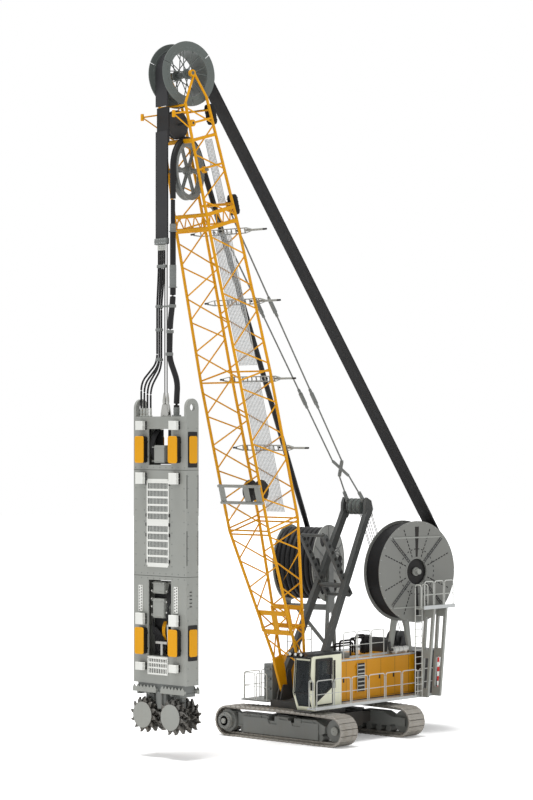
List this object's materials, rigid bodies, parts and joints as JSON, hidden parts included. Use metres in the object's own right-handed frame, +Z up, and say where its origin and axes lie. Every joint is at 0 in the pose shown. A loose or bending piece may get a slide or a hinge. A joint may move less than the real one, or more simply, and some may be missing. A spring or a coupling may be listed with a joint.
{
  "type": "trench cutter crane",
  "caption": "Crawler duty-cycle crane with a lattice boom, hose reels and a derrick, carrying a hanging twin-wheel trench cutter for slurry walls.",
  "frame": {"origin": "on the ground plane under the slewing axis", "axes": "+X forward along the boom, +Y to the machine's left where the cab is, +Z up"},
  "size_m": [15.1306, 6.8763, 27.1305],
  "materials": {
    "yellow_paint": "satin yellow paint, lightly dusted",
    "grey_paint": "satin warm grey paint",
    "pale_metal": "galvanised grating and pale tube",
    "dark_frame": "dark painted plate",
    "ballast": "black painted casting",
    "rubber": "matt black rubber hose and belt",
    "bare_steel": "worn bare steel",
    "cab_paint": "satin cream paint",
    "tinted_glass": "dark tinted glass",
    "seat_cover": "dark woven seat cover"
  },
  "bodies": {
    "undercarriage": {"carbody": "dark_frame", "track_frame_front": "grey_paint", "track_frame_rear": "grey_paint", "track_front": "bare_steel", "track_rear": "bare_steel", "track_wheels": "bare_steel"},
    "upper": {"upper_frame": "dark_frame", "counterweight": "ballast", "house_left": "yellow_paint", "house_right": "yellow_paint", "engine": "dark_frame", "cab_shell": "cab_paint", "cab_glass": "tinted_glass", "cab_visor": "dark_frame", "cab_seat": "seat_cover", "walkways": "pale_metal", "hand_rails": "pale_metal", "hose_manifold": "grey_paint", "silencer": "pale_metal", "belt_reel_stand": "grey_paint", "hose_reel_stand": "grey_paint", "luffing_block": "dark_frame"},
    "house_door": {"house_door": "yellow_paint"},
    "cab_door": {"cab_door": "cab_paint"},
    "winch_front": {"winch_front": "bare_steel"},
    "winch_rear": {"winch_rear": "bare_steel"},
    "belt_reel": {"belt_reel": "grey_paint", "wound_belt": "rubber"},
    "hose_reel": {"hose_reel": "grey_paint", "wound_hose": "rubber"},
    "derrick": {"derrick": "grey_paint"},
    "pendants": {"pendants": "bare_steel"},
    "luffing_ropes": {"luffing_ropes": "bare_steel"},
    "luffing_falls": {"luffing_falls": "bare_steel"},
    "boom": {"boom_foot": "yellow_paint", "boom_lower": "yellow_paint", "boom_upper": "yellow_paint", "boom_head": "yellow_paint", "boom_top": "yellow_paint", "boom_walkway": "pale_metal", "hose_arms": "grey_paint", "buffers": "rubber", "belt_over_wheel": "rubber", "hose_over_wheel": "rubber"},
    "top_wheel": {"top_wheel": "grey_paint"},
    "hose_wheel": {"hose_wheel": "pale_metal"},
    "rope_sheave": {"rope_sheave": "dark_frame"},
    "belt_back_run": {"belt_back_run": "rubber"},
    "hose_back_run": {"hose_back_run": "rubber"},
    "hanger": {"hoist_ropes": "bare_steel", "hose_tails": "rubber"},
    "cutter": {"cutter_frame": "grey_paint", "cutter_pads": "yellow_paint", "cutter_gear": "dark_frame", "cutter_yoke": "bare_steel", "hanging_belt": "rubber", "hanging_hoses": "rubber"},
    "cutter_wheel_left": {"cutter_wheel_left": "bare_steel"},
    "cutter_wheel_right": {"cutter_wheel_right": "bare_steel"}
  },
  "joints": [
    {"name": "slew", "type": "hinge", "parent": "undercarriage", "child": "upper", "pos_m": [0, 0, 1.15], "axis": [0, 0, 1], "continuous": true},
    {"name": "boom_luff", "type": "hinge", "parent": "upper", "child": "boom", "pos_m": [1.5, 0, 2], "axis": [0, -1, 0], "range_deg": [-4, 3.6]},
    {"name": "derrick_follow", "type": "hinge", "parent": "upper", "child": "derrick", "pos_m": [1.08, 0, 2.65], "axis": [0, -1, 0], "range_deg": [-4.52, 4.07]},
    {"name": "pendant_follow", "type": "hinge", "parent": "derrick", "child": "pendants", "pos_m": [-2.25, 0, 9.5], "axis": [0, -1, 0], "range_deg": [-0.417, 0.463]},
    {"name": "luffing_rope_follow", "type": "hinge", "parent": "derrick", "child": "luffing_ropes", "pos_m": [-2.4, 0, 9.25], "axis": [0, -1, 0], "range_deg": [-1.02, 1.13]},
    {"name": "luffing_fall_follow", "type": "hinge", "parent": "upper", "child": "luffing_falls", "pos_m": [-4.95, 0, 3.64], "axis": [0, -1, 0], "range_deg": [-3.38, 3.04]},
    {"name": "belt_run_follow", "type": "hinge", "parent": "boom", "child": "belt_back_run", "pos_m": [8.00098, 0, 25.90048], "axis": [0, -1, 0], "range_deg": [-0.14, 0.126]},
    {"name": "hose_run_follow", "type": "hinge", "parent": "boom", "child": "hose_back_run", "pos_m": [7.75104, 0.075, 22.28011], "axis": [0, -1, 0], "range_deg": [-0.32, 0.288]},
    {"name": "hanger_plumb", "type": "hinge", "parent": "boom", "child": "hanger", "pos_m": [8.75, -0.1, 23.99459], "axis": [0, -1, 0], "range_deg": [-3.67, 4.08]},
    {"name": "cutter_hoist", "type": "slide", "parent": "hanger", "child": "cutter", "axis": [0, 0, 1], "range_m": [-0.3, 0.9]},
    {"name": "cutter_wheel_left_spin", "type": "hinge", "parent": "cutter", "child": "cutter_wheel_left", "pos_m": [8.75, 0.64, 1.6], "axis": [1, 0, 0], "continuous": true},
    {"name": "cutter_wheel_right_spin", "type": "hinge", "parent": "cutter", "child": "cutter_wheel_right", "pos_m": [8.75, -0.84, 1.6], "axis": [1, 0, 0], "continuous": true},
    {"name": "top_wheel_spin", "type": "hinge", "parent": "boom", "child": "top_wheel", "pos_m": [8.00098, 0, 25.90048], "axis": [-0.1588, -0.9873, 0], "continuous": true},
    {"name": "hose_wheel_spin", "type": "hinge", "parent": "boom", "child": "hose_wheel", "pos_m": [7.75104, 0.075, 22.28011], "axis": [0.2792, -0.9602, 0], "continuous": true},
    {"name": "rope_sheave_spin", "type": "hinge", "parent": "boom", "child": "rope_sheave", "pos_m": [8.174, -0.1, 23.99459], "axis": [0, -1, 0], "continuous": true},
    {"name": "belt_reel_spin", "type": "hinge", "parent": "upper", "child": "belt_reel", "pos_m": [-3.5, 1.85, 6.6], "axis": [-0.1588, -0.9873, 0], "continuous": true},
    {"name": "hose_reel_spin", "type": "hinge", "parent": "upper", "child": "hose_reel", "pos_m": [-1.637, -2.655, 6.87], "axis": [0.2792, -0.9602, 0], "continuous": true},
    {"name": "winch_front_spin", "type": "hinge", "parent": "upper", "child": "winch_front", "pos_m": [-0.15, 0, 2.02], "axis": [0, -1, 0], "continuous": true},
    {"name": "winch_rear_spin", "type": "hinge", "parent": "upper", "child": "winch_rear", "pos_m": [-1.25, 0, 2.02], "axis": [0, -1, 0], "continuous": true},
    {"name": "cab_door_slide", "type": "slide", "parent": "upper", "child": "cab_door", "axis": [-1, 0, 0], "range_m": [0, 0.85]},
    {"name": "house_door_hinge", "type": "hinge", "parent": "upper", "child": "house_door", "pos_m": [-0.41, 1.5723, 2.4], "axis": [0, 0, -1], "range_deg": [0, 85]}
  ],
  "couplings": [
    {"joint": "derrick_follow", "follows": "boom_luff", "ratio": 1.1069},
    {"joint": "pendant_follow", "follows": "boom_luff", "ratio": -0.1136},
    {"joint": "luffing_rope_follow", "follows": "boom_luff", "ratio": -0.2776},
    {"joint": "luffing_fall_follow", "follows": "boom_luff", "ratio": 0.8293},
    {"joint": "belt_run_follow", "follows": "boom_luff", "ratio": 0.0342},
    {"joint": "hose_run_follow", "follows": "boom_luff", "ratio": 0.0784},
    {"joint": "hanger_plumb", "follows": "boom_luff", "ratio": -1}
  ]
}
